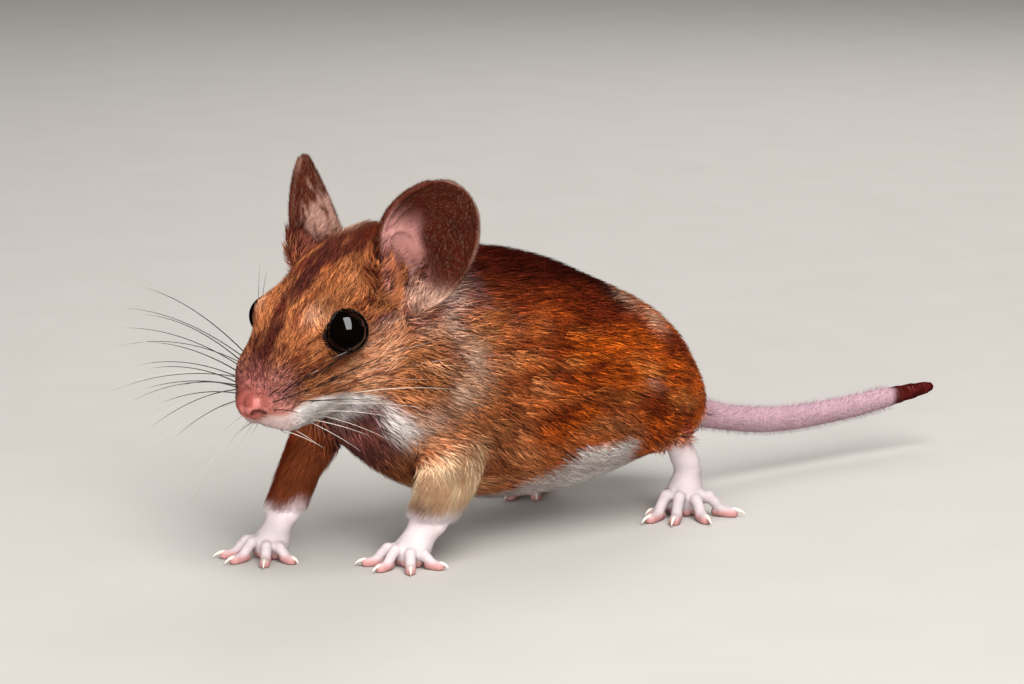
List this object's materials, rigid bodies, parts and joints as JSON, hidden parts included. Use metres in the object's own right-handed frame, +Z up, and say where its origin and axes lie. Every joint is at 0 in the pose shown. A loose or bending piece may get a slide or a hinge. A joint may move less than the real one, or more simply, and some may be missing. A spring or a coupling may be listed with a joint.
{
  "type": "wood mouse",
  "caption": "Life-size still model of a russet wood mouse with a shortened tail, standing on all four feet with its head low, as in a natural history display.",
  "frame": {"origin": "on the floor, below the middle of the model's box", "axes": "+Z up, +Y towards the tail, so the mouse faces -Y, and +X is its left side"},
  "size_m": [0.0358, 0.116, 0.0475],
  "materials": {
    "coat": "soft russet fur, dark brown on the back, white to pale grey below",
    "skin": "thin pinkish skin with short pale hairs",
    "ear": "thin dark skin with fine pale hairs, pink inside low down",
    "nose": "damp bare pink skin",
    "raw_skin": "damp dark red healing skin",
    "eye": "polished black, wet"
  },
  "bodies": {
    "root": {"nose": "nose", "head": "coat", "eye_left": "eye", "ear_left": "ear", "eye_right": "eye", "ear_right": "ear", "neck": "coat", "chest": "coat", "belly": "coat", "rump": "coat", "upper_arm_left": "coat", "forearm_left": "skin", "fore_foot_left": "skin", "upper_arm_right": "coat", "forearm_right": "skin", "fore_foot_right": "skin", "thigh_left": "coat", "shank_left": "skin", "hind_foot_left": "skin", "thigh_right": "coat", "shank_right": "skin", "hind_foot_right": "skin", "tail_base": "skin", "tail_middle": "skin", "tail_tip": "raw_skin"}
  },
  "joints": []
}
